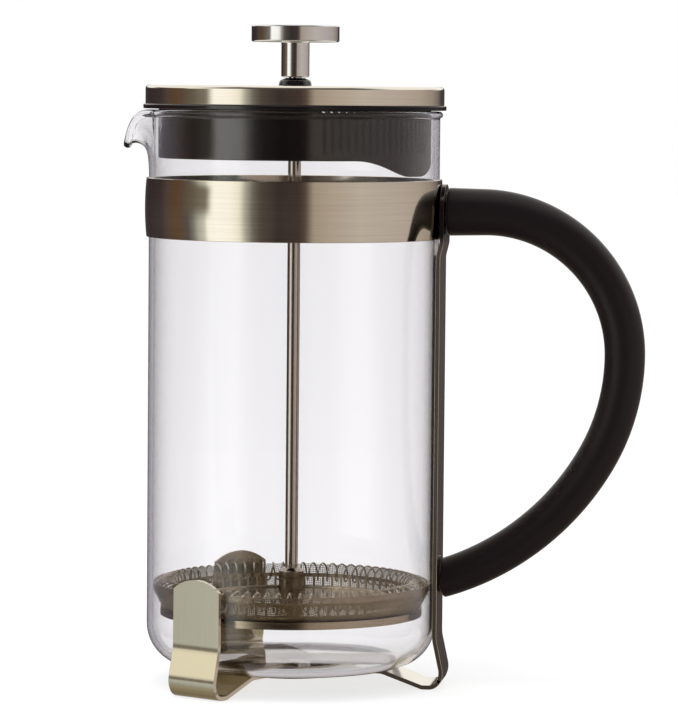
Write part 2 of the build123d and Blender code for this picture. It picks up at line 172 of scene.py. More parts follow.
def turned(outline, segments=224, closed=True):
    """Lathe: each (radius, height) of the outline becomes a ring."""
    azimuth = np.linspace(0, 2 * pi, segments, endpoint=False)
    quads = grid_quads(len(outline), segments, closed, True)
    return wall_grid(outline[:, :1], azimuth, outline[:, 1:]), quads


# %% [markdown]
# ## The studio
# Polished steel shows its surroundings more than itself, so the room matters as much as the metal. The
# ring round the press has a bright softbox at the left, a dark gap behind the camera and a dim warm wall
# at the right. Behind the press stand low dark flags, which draw its outline, with light above them. The
# ceiling is dark over the front, so that the top edges of the collar and the strips don't turn white.
#
# A real room could be modelled with lamps and boards, but a ring painted on the world is quicker to tune.
# Only reflected rays see it. Those reflected in the glass itself see extra light at the sides and the
# back, because the edges of the glass would be black without it. All other rays see plain white, so the
# press stands in a pale, evenly lit space from every side.


# %% Node helpers
def wire(tree, kind, settings=None, **inputs):
    """Add a node, set its properties, and set or link its inputs by name or number."""
    node = tree.nodes.new(kind)
    for key, value in (settings or {}).items():
        setattr(node, key, value)
    for key, value in inputs.items():
        by_number = key[0] == "i" and key[1:].isdigit()
        socket = node.inputs[int(key[1:])] if by_number else node.inputs[key]
        if isinstance(value, bpy.types.NodeSocket):
            tree.links.new(value, socket)
        else:
            socket.default_value = value
    return node


def ramp(tree, factor, stops):
    """Colour ramp from (position, colour) pairs."""
    node = wire(tree, "ShaderNodeValToRGB", i0=factor)
    elements = node.color_ramp.elements
    while len(elements) < len(stops):
        elements.new(1.0)
    for element, (position, colour) in zip(elements, stops):
        element.position = position
        element.color = (*colour, 1)
    return node.outputs["Color"]


def calc(tree, operation, a, b=0.0, clamp=False):
    """One arithmetic step."""
    return wire(tree, "ShaderNodeMath", {"operation": operation, "use_clamp": clamp}, i0=a, i1=b).outputs[0]


def mix_colour(tree, factor, a, b):
    """Blend of two colours."""
    return wire(tree, "ShaderNodeMix", {"data_type": "RGBA"}, i0=factor, i6=a, i7=b).outputs[2]


def spread(tree, value, low, high, out_low, out_high):
    """Map a range of values smoothly to another range."""
    settings = {"interpolation_type": "SMOOTHSTEP"}
    node = wire(tree, "ShaderNodeMapRange", settings, i0=value, i1=low, i2=high, i3=out_low, i4=out_high)
    return node.outputs[0]


# %% The ring of light that the steel reflects
VIEW_TURN = radians(8.3)        # the camera stands this far round from the front
world = bpy.data.worlds.new("studio")
world.use_nodes = True
world.cycles.sampling_method = "NONE"
bpy.context.scene.world = world
sky = world.node_tree
sky.nodes.clear()
look = wire(sky, "ShaderNodeTexCoord").outputs["Generated"]
look_x, look_y, look_z = wire(sky, "ShaderNodeSeparateXYZ", i0=look).outputs
turn = calc(sky, "ARCTAN2", look_x, calc(sky, "MULTIPLY", look_y, -1.0))
around = calc(sky, "FRACT", calc(sky, "ADD", calc(sky, "DIVIDE", turn, 2 * pi), 0.5 - VIEW_TURN / (2 * pi)))


def degrees_round(angle):
    """Place of an angle on the ring: 0 degrees is behind the camera, positive to the right."""
    return angle / 360 + 0.5


ring_stops = [
    (-180, (0.07, 0.055, 0.055)),
    (-150, (0.035, 0.025, 0.03)),
    (-126, (0.045, 0.033, 0.035)),
    (-115, (0.085, 0.057, 0.05)),
    (-103, (0.113, 0.063, 0.029)),
    (-90, (0.10, 0.08, 0.078)),
    (-84, (0.20, 0.20, 0.19)),
    (-79, (0.44, 0.45, 0.40)),
    (-73, (0.64, 0.64, 0.59)),
    (-70, (1.10, 1.09, 1.0)),
    (-61, (1.15, 1.13, 1.07)),
    (-50, (1.10, 1.08, 1.02)),
    (-43, (0.98, 0.94, 0.82)),
    (-38, (0.45, 0.44, 0.40)),
    (-32, (0.165, 0.15, 0.132)),
    (-26, (0.085, 0.068, 0.058)),
    (-12, (0.04, 0.033, 0.029)),
    (4, (0.058, 0.038, 0.035)),
    (9, (0.10, 0.075, 0.06)),
    (15, (0.40, 0.34, 0.285)),
    (28, (0.47, 0.40, 0.342)),
    (53, (0.545, 0.488, 0.44)),
    (91, (0.50, 0.43, 0.41)),
    (112, (0.45, 0.39, 0.335)),
    (132, (0.33, 0.28, 0.25)),
    (144, (0.20, 0.17, 0.15)),
    (153, (0.06, 0.05, 0.05)),
    (180, (0.07, 0.055, 0.055)),
]
ring = ramp(sky, around, [(degrees_round(a), colour) for a, colour in ring_stops])


def fade_in(value, start, end, most=1.0):
    """Rises from 0 to its most as the value goes from start to end."""
    return spread(sky, value, start, end, 0.0, most)


def fade_out(value, start, end, most=1.0):
    """Falls from its most to 0 as the value goes from start to end."""
    return spread(sky, value, start, end, most, 0.0)


# %% The patch that the front leg reflects: dark low down and bright above
# Heights are the sine of a ray's angle above the level, as look_z gives it.
PATCH_DARK, PATCH_BRIGHT = (0.13, 0.10, 0.07, 1), (0.92, 0.86, 0.68, 1)
PATCH_LEFT = degrees_round(-98), degrees_round(-88)
PATCH_RIGHT = degrees_round(-72), degrees_round(-64)
patch_place = calc(sky, "MULTIPLY", fade_in(around, *PATCH_LEFT), fade_out(around, *PATCH_RIGHT))
patch_low = calc(sky, "MULTIPLY", fade_in(look_z, -0.10, 0.0, 0.85), fade_out(look_z, 0.08, 0.15))
patch_high = calc(sky, "MULTIPLY", patch_place, fade_in(look_z, 0.12, 0.17))
ring = mix_colour(sky, calc(sky, "MULTIPLY", patch_low, patch_place), ring, PATCH_DARK)
ring = mix_colour(sky, patch_high, ring, PATCH_BRIGHT)

# %% Table and ceiling, below and above the ring
TABLE_STOPS = [
    (0.0, (0.09, 0.07, 0.045)),
    (0.35, (0.30, 0.25, 0.16)),
    (0.7, (0.42, 0.38, 0.28)),
    (0.9, (0.50, 0.48, 0.41)),
]
CEILING_DARK, CEILING_BRIGHT = (0.10, 0.085, 0.082, 1), (1.0, 0.985, 0.95, 1)
table_tone = ramp(sky, calc(sky, "ADD", look_z, 1.0), TABLE_STOPS)
off_front = calc(sky, "ABSOLUTE", calc(sky, "SUBTRACT", around, degrees_round(0)))
is_behind = fade_in(off_front, 125 / 360, 150 / 360)
over_flags = calc(sky, "MULTIPLY", is_behind, fade_in(look_z, 0.085, 0.125))
is_ceiling = calc(sky, "MAXIMUM", fade_in(look_z, 0.20, 0.32), over_flags)
is_bright = calc(sky, "MAXIMUM", fade_in(off_front, 55 / 360, 95 / 360), fade_in(look_z, 0.80, 0.95))
ceiling = mix_colour(sky, is_bright, CEILING_DARK, CEILING_BRIGHT)
walls = mix_colour(sky, fade_out(look_z, -0.50, -0.30, 0.88), ring, table_tone)
reflected = mix_colour(sky, is_ceiling, walls, ceiling)

# %% Which rays see which light
GLASS_GLOW = (0.78, 0.76, 0.79, 1)
MOST_WALLS = 3.5                # after more passes through glass a ray gets no extra light
path = wire(sky, "ShaderNodeLightPath").outputs
was_reflected = calc(sky, "GREATER_THAN", path["Glossy Depth"], 0.5)
in_glass = calc(sky, "GREATER_THAN", path["Transmission Depth"], 0.5)
in_glass = calc(sky, "MULTIPLY", in_glass, calc(sky, "LESS_THAN", path["Transmission Depth"], MOST_WALLS))
in_glass = calc(sky, "MULTIPLY", in_glass, fade_in(off_front, 85 / 360, 115 / 360, 0.8))
reflected = mix_colour(sky, in_glass, reflected, GLASS_GLOW)
seen = mix_colour(sky, was_reflected, (1.0, 1.0, 1.0, 1), reflected)
air = wire(sky, "ShaderNodeBackground", Color=seen, Strength=1.0)
wire(sky, "ShaderNodeOutputWorld", Surface=air.outputs[0])

# %% [markdown]
# ## Floor, light and camera
# The floor is a sheet of pale paper. It glows by itself as well as taking light, so only a faint shadow is
# left on it, and it turns a very little darker further back. Reflected rays pass through it
# to the ring, which has a table tone of its own. One wide softbox overhead draws the shadow under the
# feet. The camera stands well away with a long lens, so upright edges stay nearly parallel.

# %% Floor
FLOOR_R = 6000.0
PAPER_TONE = 0.30               # light that the paper gives back
GLOW_NEAR, GLOW_FAR = 0.74, 0.73
GLOW_TURN = (0.78, 0.86)        # metres from the axis, over which the glow changes
floor_rings = np.array([[0.0, 0.0], [400.0, 0.0], [1200.0, 0.0], [FLOOR_R, 0.0]])
floor = make_piece("paper_floor", [turned(floor_rings, 96, closed=False)])
if floor.data.polygons[0].normal.z < 0:
    floor.data.flip_normals()
paper = bpy.data.materials.new("pale_paper")
paper.use_nodes = True
sheet_tree = paper.node_tree
sheet_tree.nodes.clear()
place = wire(sheet_tree, "ShaderNodeTexCoord").outputs["Object"]
away = wire(sheet_tree, "ShaderNodeVectorMath", {"operation": "LENGTH"}, i0=place).outputs["Value"]
glow_stops = [(0, (GLOW_NEAR,) * 3), (1, (GLOW_FAR,) * 3)]
tone = ramp(sheet_tree, spread(sheet_tree, away, *GLOW_TURN, 0, 1), glow_stops)
matt = wire(sheet_tree, "ShaderNodeBsdfDiffuse", Color=(PAPER_TONE, PAPER_TONE, PAPER_TONE, 1))
glow = wire(sheet_tree, "ShaderNodeEmission", Color=tone, Strength=1.0)
matt = wire(sheet_tree, "ShaderNodeAddShader", i0=matt.outputs[0], i1=glow.outputs[0])
clear = wire(sheet_tree, "ShaderNodeBsdfTransparent")
paper_path = wire(sheet_tree, "ShaderNodeLightPath").outputs
was_mirrored = calc(sheet_tree, "GREATER_THAN", paper_path["Glossy Depth"], 0.5)
paper_mix = wire(sheet_tree, "ShaderNodeMixShader", i0=was_mirrored, i1=matt.outputs[0], i2=clear.outputs[0])
wire(sheet_tree, "ShaderNodeOutputMaterial", Surface=paper_mix.outputs[0])
floor.data.materials.append(paper)

# %% Softbox overhead
softbox = bpy.data.lights.new("softbox", "AREA")
softbox.shape = "DISK"
softbox.size = 1.2
softbox.energy = 11.0
softbox_stand = bpy.data.objects.new("softbox", softbox)
softbox_stand.location = (-0.5, -0.5, 1.7)
softbox_stand.rotation_euler = (radians(16), radians(-16), 0)
softbox_stand.visible_camera = False
softbox_stand.visible_glossy = False
bpy.context.scene.collection.objects.link(softbox_stand)

# %% Camera
CAMERA_AWAY = 1.300
CAMERA_UP = 0.198
LENS = 194.4
ROLL = radians(0.5)
target = Vector((0.0151, 0.0022, 0.1062))
camera_data = bpy.data.cameras.new("camera")
camera_data.lens = LENS
camera_data.sensor_width = 36.0
camera_data.clip_end = 50.0
camera = bpy.data.objects.new("camera", camera_data)
camera.location = (CAMERA_AWAY * sin(VIEW_TURN), -CAMERA_AWAY * cos(VIEW_TURN), CAMERA_UP)
aim = (target - camera.location).to_track_quat("-Z", "Y").to_matrix().to_4x4()
camera.matrix_world = Matrix.Translation(camera.location) @ aim @ Matrix.Rotation(ROLL, 4, "Z")
bpy.context.scene.collection.objects.link(camera)
bpy.context.scene.camera = camera
bpy.context.scene.view_settings.view_transform = "Standard"
bpy.context.scene.cycles.use_denoising = True

# %% [markdown]
# ## Finishes
# Each finish is a small node tree on a Principled shader. Sheet steel is brushed, so its roughness and its
# fine relief change quickly across the brushing and slowly along it. On a turned piece the brushing runs
# round the axis, and the pattern reads the direction, the radius and the height of a point. On a bent
# strip it runs along the strip, and the pattern reads the strip's own UV map.


# %% Finish helpers
def new_finish(name, **values):
    """A material with one Principled shader, whose constant values are set on its own sockets."""
    material = bpy.data.materials.new(name)
    material.use_nodes = True
    tree = material.node_tree
    shader = tree.nodes["Principled BSDF"]
    for key, value in values.items():
        shader.inputs[key.replace("_", " ")].default_value = value
    return material, tree, shader


def round_brushing(tree, along, across):
    """Streaks round the Z axis: noise over the direction from the axis, the height and the radius."""
    place = wire(tree, "ShaderNodeTexCoord").outputs["Object"]
    x, y, z = wire(tree, "ShaderNodeSeparateXYZ", i0=place).outputs
    flat = wire(tree, "ShaderNodeCombineXYZ", i0=x, i1=y, i2=0.0).outputs[0]
    radius = wire(tree, "ShaderNodeVectorMath", {"operation": "LENGTH"}, i0=flat).outputs["Value"]
    outwards = wire(tree, "ShaderNodeVectorMath", {"operation": "NORMALIZE"}, i0=flat).outputs[0]
    ox, oy, _ = wire(tree, "ShaderNodeSeparateXYZ", i0=outwards).outputs
    spot = wire(
        tree,
        "ShaderNodeCombineXYZ",
        i0=calc(tree, "MULTIPLY", ox, along),
        i1=calc(tree, "MULTIPLY", oy, along),
        i2=calc(tree, "MULTIPLY", z, across),
    ).outputs[0]
    turn_w = calc(tree, "MULTIPLY", radius, across)
    settings = {"noise_dimensions": "4D"}
    return wire(tree, "ShaderNodeTexNoise", settings, Vector=spot, W=turn_w, Scale=1.0, Detail=3.0).outputs[0]


def long_brushing(tree, along, across):
    """Streaks along a strip: noise over its UV map, stretched along the strip."""
    uv = wire(tree, "ShaderNodeUVMap", {"uv_map": "strip"}).outputs[0]
    spot = wire(tree, "ShaderNodeMapping", i0=uv, Scale=(along, across, 1.0)).outputs[0]
    return wire(tree, "ShaderNodeTexNoise", Vector=spot, Scale=1.0, Detail=3.0).outputs[0]


NOISE_LOW, NOISE_HIGH = 0.3, 0.7   # nearly all of a noise's values lie between these


def brush_onto(tree, shader, streaks, rough, tones, relief):
    """Let the streaks drive roughness and tone, each between its low and high value, and a shallow relief."""
    roughness = spread(tree, streaks, NOISE_LOW, NOISE_HIGH, *rough)
    tree.links.new(roughness, shader.inputs["Roughness"])
    colour = ramp(tree, streaks, [(NOISE_LOW, tones[0]), (NOISE_HIGH, tones[1])])
    tree.links.new(colour, shader.inputs["Base Color"])
    bump = wire(tree, "ShaderNodeBump", Strength=0.35, Distance=relief, Height=streaks)
    tree.links.new(bump.outputs[0], shader.inputs["Normal"])


# %% Brushed sheet steel, round the axis and along the strips
SHEET_TONES = (0.80, 0.755, 0.655), (0.88, 0.835, 0.735)
STRIP_TONES = (0.82, 0.775, 0.655), (0.86, 0.815, 0.70)
round_steel, tree, shader = new_finish("brushed_round_steel", Metallic=1.0)
brush_onto(tree, shader, round_brushing(tree, 1.6, 3600.0), (0.05, 0.08), SHEET_TONES, 0.0000025)


def strip_finish(name):
    """Steel brushed along the strip."""
    material, tree, shader = new_finish(name, Metallic=1.0)
    brush_onto(tree, shader, long_brushing(tree, 40.0, 1500.0), (0.10, 0.14), STRIP_TONES, 0.0000012)
    return material, tree, shader


strip_steel = strip_finish("brushed_strip_steel")[0]

# The handle strip's colour turns dark over the collar. This is painted shade on the steel, not a darker
# steel.
SHADE_FROM, SHADE_TO = 0.1455, 0.1500   # heights in metres
PAINTED_SHADE_TONE = (0.09, 0.07, 0.065, 1)
handle_steel, tree, shader = strip_finish("handle_strip_steel_painted_shade")
bright = shader.inputs["Base Color"].links[0].from_socket
place = wire(tree, "ShaderNodeTexCoord").outputs["Object"]
height = wire(tree, "ShaderNodeSeparateXYZ", i0=place).outputs[2]
# Above these heights the steel's colour is mixed into painted shade.
with_painted_shade = mix_colour(tree, spread(tree, height, SHADE_FROM, SHADE_TO, 0.0, 1.0), bright, PAINTED_SHADE_TONE)
tree.links.new(with_painted_shade, shader.inputs["Base Color"])


# %% Turned and drawn steel, which is brushed round the axis
def turned_finish(name, along, across, rough, tones, relief):
    """Steel with fine lines round the axis: their length and spacing, roughness, tones and relief."""
    material, tree, shader = new_finish(name, Metallic=1.0)
    brush_onto(tree, shader, round_brushing(tree, along, across), rough, tones, relief)
    return material


polished_steel = turned_finish(
    "polished_steel", 2.0, 2500.0, (0.03, 0.06), ((0.79, 0.80, 0.81), (0.85, 0.86, 0.87)), 0.000001
)
rod_steel = turned_finish(
    "ground_rod_steel", 8.0, 5200.0, (0.05, 0.09), ((0.66, 0.62, 0.56), (0.76, 0.72, 0.66)), 0.000003
)
hub_steel = turned_finish(
    "turned_hub_steel", 4.0, 3000.0, (0.08, 0.14), ((0.40, 0.34, 0.27), (0.50, 0.44, 0.36)), 0.000003
)
filter_steel = turned_finish(
    "satin_filter_steel", 6.0, 2500.0, (0.14, 0.24), ((0.50, 0.43, 0.31), (0.62, 0.55, 0.42)), 0.000006
)
spring_wire = turned_finish(
    "spring_wire", 60.0, 3000.0, (0.05, 0.10), ((0.40, 0.34, 0.26), (0.58, 0.52, 0.43)), 0.000002
)


# %% Black plastics
def grained_black(name, base, rough_low, rough_high, grain, relief, specular):
    """Moulded plastic: an even fine grain, with slow changes of sheen from handling."""
    material, tree, shader = new_finish(name, Base_Color=(*base, 1), Specular_IOR_Level=specular)
    place = wire(tree, "ShaderNodeTexCoord").outputs["Object"]
    fine = wire(tree, "ShaderNodeTexNoise", Vector=place, Scale=grain, Detail=2.0).outputs[0]
    slow = wire(tree, "ShaderNodeTexNoise", Vector=place, Scale=35.0, Detail=3.0).outputs[0]
    roughness = spread(tree, slow, NOISE_LOW, NOISE_HIGH, rough_low, rough_high)
    tree.links.new(roughness, shader.inputs["Roughness"])
    bump = wire(tree, "ShaderNodeBump", Strength=0.3, Distance=relief, Height=fine)
    tree.links.new(bump.outputs[0], shader.inputs["Normal"])
    return material


LINER_GLOSS, SLOTTED_GLOSS = 0.9, 0.16
GLOSS_FROM, GLOSS_TO = 0.002, 0.026   # metres along X, over which the liner's gloss falls
GRIP_TONE, LINER_TONE = (0.0085, 0.0045, 0.0056), (0.004, 0.0028, 0.004)
grip_black = grained_black("soft_grip_black", GRIP_TONE, 0.36, 0.42, 3200.0, 0.00002, 0.25)
liner_black = grained_black("satin_liner_black", LINER_TONE, 0.06, 0.09, 1500.0, 0.000002, LINER_GLOSS)

grip_sheen = grip_black.node_tree.nodes["Principled BSDF"].inputs
grip_sheen["Sheen Weight"].default_value = 1.0
grip_sheen["Sheen Roughness"].default_value = 0.20
grip_sheen["Sheen Tint"].default_value = (1.0, 0.90, 0.89, 1)

# The liner's slotted half is finished with less gloss, so that the slots and ribs stay dark.
tree = liner_black.node_tree
place = wire(tree, "ShaderNodeTexCoord").outputs["Object"]
place_x = wire(tree, "ShaderNodeSeparateXYZ", i0=place).outputs[0]
gloss = spread(tree, place_x, GLOSS_FROM, GLOSS_TO, LINER_GLOSS, SLOTTED_GLOSS)
tree.links.new(gloss, tree.nodes["Principled BSDF"].inputs["Specular IOR Level"])

# %% Clear glass
glass, tree, shader = new_finish(
    "clear_glass", Base_Color=(1, 1, 1, 1), Roughness=0.0, IOR=1.474, Transmission_Weight=1.0
)
body_tint = wire(tree, "ShaderNodeVolumeAbsorption", Color=(0.43, 0.36, 0.52, 1), Density=50.0)
tree.links.new(body_tint.outputs[0], tree.nodes["Material Output"].inputs["Volume"])

# %% [markdown]
# ## The beaker
# A beaker is drawn from glass tube. Its base is rounded and pushed up in the middle, its rim is melted
# into a bead, and while the rim is soft a tool pulls part of it outwards and down into a spout. So the
# spout isn't a separate part, and joining a lofted beak to a cylinder would leave a crease. Here the wall
# is one surface: a middle line that depends on the direction, with the glass laid on both sides of it.

# %% Beaker: the middle of the wall
WALL = 1.6
BEAD_R = 1.25
CORNER_R = 13.5               # rounding between wall and base, outside
BASE_RING = 4.0               # flat ring that the beaker stands on
BASE_DISH = 1.2
SPOUT_Z = 165.0               # the spout starts to leave the wall here
SPOUT_SPREAD = 24.0           # half of the angle that the spout takes up, in degrees
SPOUT_TIP = 4.0               # roundness of the tip, in degrees
glass_low, glass_high = corners_of("glass_beaker")
BASE_Z, RIM_Z = glass_low[2], glass_high[2]
GLASS_R = glass_high[1] - 2 * BEAD_R + WALL
wall_r = GLASS_R - WALL / 2


def spout_pull(azimuth):
    """Share of the full pull in a direction: (1 - q) ^ 1.8, where q grows from the spout's middle."""
    off = 180 - np.degrees(np.abs((azimuth + pi) % (2 * pi) - pi))
    q = (np.hypot(off, SPOUT_TIP) - SPOUT_TIP) / (np.hypot(SPOUT_SPREAD, SPOUT_TIP) - SPOUT_TIP)
    return (1 - np.clip(q, 0, 1)) ** 1.8


def spout_middle(share):
    """The spout's own middle line, from share 0 at its root to 1 at its tip, as (outwards, up) in mm."""
    out = (-glass_low[0] - wall_r - 0.4) * share**2.7
    up = 14.6 * np.sin(np.clip(share / 0.86, 0, 1) * pi / 2) - 1.6 * np.clip((share - 0.8) / 0.2, 0, 1) ** 2
    return out, up


def beaker_middle(height, azimuth):
    """Middle of the wall at a height of the plain tube: the spout pulls it out, and bends it down."""
    pull = spout_pull(azimuth)
    share = np.clip((height - SPOUT_Z) / (RIM_Z - SPOUT_Z), 0, 1)
    out, up = spout_middle(share)
    radius = wall_r + pull * out
    z = height + pull**3 * (SPOUT_Z + up - height) * (share > 0)
    return wall_grid(radius, azimuth, z)


# %% Beaker: base, wall and bead as one closed skin
def beaker_skin():
    """Rows run from the middle of the base, up outside, over the bead and down inside to the middle."""
    near = radians(SPOUT_SPREAD + 3)
    spout_side = pi + near * np.linspace(-1, 1, 121)
    plain_side = np.linspace(-pi + near, pi - near, 261)[1:-1]
    azimuth = np.concatenate([spout_side, plain_side])[None, :]
    below_spout = np.linspace(BASE_Z + CORNER_R, SPOUT_Z, 8)[1:-1]
    up_wall = np.concatenate([below_spout, np.linspace(SPOUT_Z, RIM_Z - BEAD_R, 46)])
    lip = np.linspace(-0.35, pi + 0.45, 15)
    across_bead = (BEAD_R - WALL / 2) + BEAD_R * np.cos(lip)
    over_bead = RIM_Z - BEAD_R + BEAD_R * np.sin(lip)
    below = up_wall < over_bead[0] - 0.3
    inner = up_wall[up_wall < over_bead[-1] - 0.3][::-1]
    height = np.concatenate([up_wall[below], over_bead, inner])[:, None]
    offset = [np.full(below.sum(), WALL / 2), across_bead, np.full(len(inner), -WALL / 2)]
    offset = np.concatenate(offset)[:, None]
    step = 0.02
    here = beaker_middle(height + 0 * azimuth, azimuth + 0 * height)
    upwards = here - beaker_middle(height - step + 0 * azimuth, azimuth)
    sideways = beaker_middle(height + 0 * azimuth, azimuth + step / 50) - here
    normal = np.cross(sideways, upwards)
    normal /= np.linalg.norm(normal, axis=-1, keepdims=True)
    wall = here + normal * offset[..., None]
    centre_r, centre_z = GLASS_R - CORNER_R, BASE_Z + CORNER_R
    turn = np.linspace(-pi / 2, 0, 19)
    ring_r = centre_r - BASE_RING
    base = [(0, BASE_Z + BASE_DISH), (ring_r - 0.6, BASE_Z + 0.02), (ring_r + 0.6, BASE_Z)]
    outer_corner, inner_corner = (
        np.c_[centre_r + r * np.cos(turn), centre_z + r * np.sin(turn)] for r in (CORNER_R, CORNER_R - WALL)
    )
    outside = np.vstack([base, outer_corner])
    inside = np.vstack([np.array(base) + (0, WALL), inner_corner])[::-1]
    rings = [wall_grid(outline[:, :1], azimuth, outline[:, 1:]) for outline in (outside, inside)]
    points = np.concatenate([rings[0], wall, rings[1]])
    return points, grid_quads(points.shape[0], points.shape[1], False, True)


beaker = make_piece("beaker_with_spout", [beaker_skin()], sharp=80)
finish_piece(beaker, "beaker", "glass", glass, "glass_beaker")

# %% [markdown]
# ## Strips and collar
# The stand is bent from flat steel strip. Two legs and the handle strip run down the glass, kick out over
# a knee, turn under in a flat foot and climb inwards to carry the beaker. A strip is a rounded rectangle
# carried along its bent middle line. Its upper end is cut to an arch, and this narrows the section near
# the end. The collar is a crowned ring of thinner sheet.

# %% Strip builder
STRIP_T = 1.4
STRIP_EDGE = 0.12             # rounding of the strip's long edges
RUNNING_GAP = 0.3
FOOT_SLOPE = radians(20)      # the strip climbs inwards at this angle
LEG_ARCH_R = 14.5             # rounding of the legs' top ends
leg_high = corners_of("front_leg_strip")[1]
hand_low, hand_high = corners_of("handle_strip")
STRIP_W = hand_high[1] - hand_low[1]
strip_r = GLASS_R + RUNNING_GAP + STRIP_T / 2
flat_z = BASE_Z - 0.1 - STRIP_T / 2
foot_run = [(strip_r, 16.6), (51.5, 4.8), (49.6, STRIP_T / 2), (45.0, STRIP_T / 2)]
foot_run += [(foot_run[-1][0] - (flat_z - STRIP_T / 2) / tan(FOOT_SLOPE), flat_z), (8.0, flat_z)]
foot_bends = [11, 6, 3.6, 3, 6, 0]


def bent_strip(name, azimuth, upper_run, upper_bends, arch_r):
    """Carry a rounded rectangle along a bent line that stands upright in one direction from the axis.

    Near the arched end the half width is arch_r * sin(t) at a depth of arch_r * (1 - cos(t)).
    """
    line = densify(rounded(upper_run + foot_run, upper_bends + foot_bends, closed=False, step=9), 4.0)
    depth_end = arch_r * (1 - np.sqrt(1 - (STRIP_W / 2 / arch_r) ** 2))
    t = np.linspace(0, 1, 15) ** 1.3
    arch_depth = depth_end * t**2
    down = (line[1] - line[0]) / np.linalg.norm(line[1] - line[0])
    line = np.vstack([line[0] + down * arch_depth[:, None], line[distance_along(line) > depth_end + 0.3]])
    along = distance_along(line)
    half = np.sqrt(np.clip(arch_r**2 - np.clip(arch_r - along, 0, None) ** 2, 0, None))
    half = np.where(along > depth_end, STRIP_W / 2, np.minimum(half, STRIP_W / 2))
    heading = np.gradient(line, along, axis=0)
    heading /= np.linalg.norm(heading, axis=1, keepdims=True)
    facing = np.c_[-heading[:, 1], heading[:, 0]]
    w, h = STRIP_W / 2, STRIP_T / 2
    section = rounded([(-w, -h), (w, -h), (w, h), (-w, h)], [STRIP_EDGE] * 4, step=30)
    across = np.sign(section[:, 0]) * np.clip(np.abs(section[:, 0]) - (w - half[:, None]), 0, None)
    through = section[:, 1] + 0 * across
    # One row of a single repeated point closes the strip's inner end.
    closing = np.zeros((1, len(section)))
    across, through = np.vstack([across, closing]), np.vstack([through, closing])
    line, facing = np.vstack([line, line[-1]]), np.vstack([facing, facing[-1]])
    along = np.r_[along, along[-1]]
    r = line[:, :1] + through * facing[:, :1]
    z = line[:, 1:] + through * facing[:, 1:]
    x = r * cos(azimuth) - across * sin(azimuth)
    y = r * sin(azimuth) + across * cos(azimuth)
    points = np.stack([x, y, z], -1)
    uv = np.stack([along[:, None] + 0 * across, across + through], -1)
    return make_piece(name, [(points, grid_quads(*points.shape[:2], False, True))], uv=("strip", uv))


# %% The two legs
leg_azimuth = radians(120)
for name, node, side in (("front_leg", "front_leg_strip", -1), ("rear_leg", "rear_leg_strip", 1)):
    leg = bent_strip(name, side * leg_azimuth, [(strip_r, leg_high[2])], [0], LEG_ARCH_R)
    finish_piece(leg, "stand", "brushed_sheet", strip_steel, node)

# %% The handle strip, which steps out over the collar
JOGGLE = 1.1
upper = [(strip_r + JOGGLE, hand_high[2]), (strip_r + JOGGLE, 147.0), (strip_r, 142.5)]
handle_strip = bent_strip("handle_leg", 0.0, upper, [0, 5, 5], STRIP_W / 2 + 0.5)
finish_piece(handle_strip, "stand", "brushed_sheet", handle_steel, "handle_strip")

# %% The collar and the disc under the glass
COLLAR_SHEET = 0.5
CROWN = 0.5
CROWN_ROWS = 17
COLLAR_EDGE = 0.12            # rounding of the collar's edges
collar_low, collar_high = corners_of("collar_band")
collar_half = (collar_high[2] - collar_low[2]) / 2
collar_z = (collar_high[2] + collar_low[2]) / 2
collar_r = collar_high[1] - CROWN - COLLAR_SHEET


def crown_side(radius, direction):
    """One side of the collar: it bulges by the crown in the middle of its height."""
    t = np.linspace(-1, 1, CROWN_ROWS) * direction
    half = collar_half - COLLAR_EDGE * (np.abs(t) == 1)
    return np.c_[radius + CROWN * (1 - t**2), collar_z + t * half]


outer_side, inner_side = crown_side(collar_r + COLLAR_SHEET, 1), crown_side(collar_r, -1)
edge_r = collar_r + COLLAR_SHEET / 2
top_end, low_end = [[edge_r, collar_z + collar_half]], [[edge_r, collar_z - collar_half]]
collar_outline = np.vstack([outer_side, top_end, inner_side, low_end])
collar = make_piece("collar", [turned(collar_outline, 288)], sharp=30)
finish_piece(collar, "stand", "brushed_sheet", round_steel, "collar_band")

disc_low, disc_high = corners_of("base_disc")
disc_r = disc_high[0]
disc_corners = [(0, disc_low[2]), (disc_r, disc_low[2]), (disc_r, disc_high[2]), (0, disc_high[2])]
disc_outline = rounded(disc_corners, [0, 0.35, 0.35, 0], closed=False)
disc = make_piece("hub_disc", [turned(disc_outline, 96, closed=False)])
finish_piece(disc, "stand", "brushed_sheet", round_steel, "base_disc")

# %% [markdown]
# ## The handle
# The grip is one moulded rod, thick where it leaves the lid end and slimmer towards the foot. Its middle
# line leaves the strip straight and then opens out over three bends of growing radius. A curve object
# with a taper would do, but its ends would stay square to the line. Computed as a tube, the lower end can
# be cut upright where it meets the strip, and both ends get the small rounding of a moulding.

# %% Handle: a tube along three bends
GRIP_RUN = 12.2
GRIP_BENDS = ((46.5, 90.0), (69.4, 30.0), (88.0, 43.5))   # radius in mm, turn in degrees
GRIP_EDGE = 0.9
GRIP_SLIM_SHARE = 0.42        # share of its length over which the thick upper end slims
GRIP_ROWS, GRIP_SIDES = 170, 72
wash_high = corners_of("handle_washers")[1]
WASHER_R, WASHER_T = wash_high[1], 0.4
GRIP_TOP_Z = wash_high[2] - WASHER_R
GRIP_LOW_X = strip_r + STRIP_T / 2 + WASHER_T    # where the lower end meets its washer
GRIP_TOP_X = GRIP_LOW_X + JOGGLE                 # and the upper end, which the joggle moves out
GRIP_TOP_R, GRIP_MIDDLE_R, GRIP_LOW_R = corners_of("handle_grip")[1][1], 6.8, 6.35
grip_length = GRIP_RUN + sum(radius * radians(turn) for radius, turn in GRIP_BENDS)


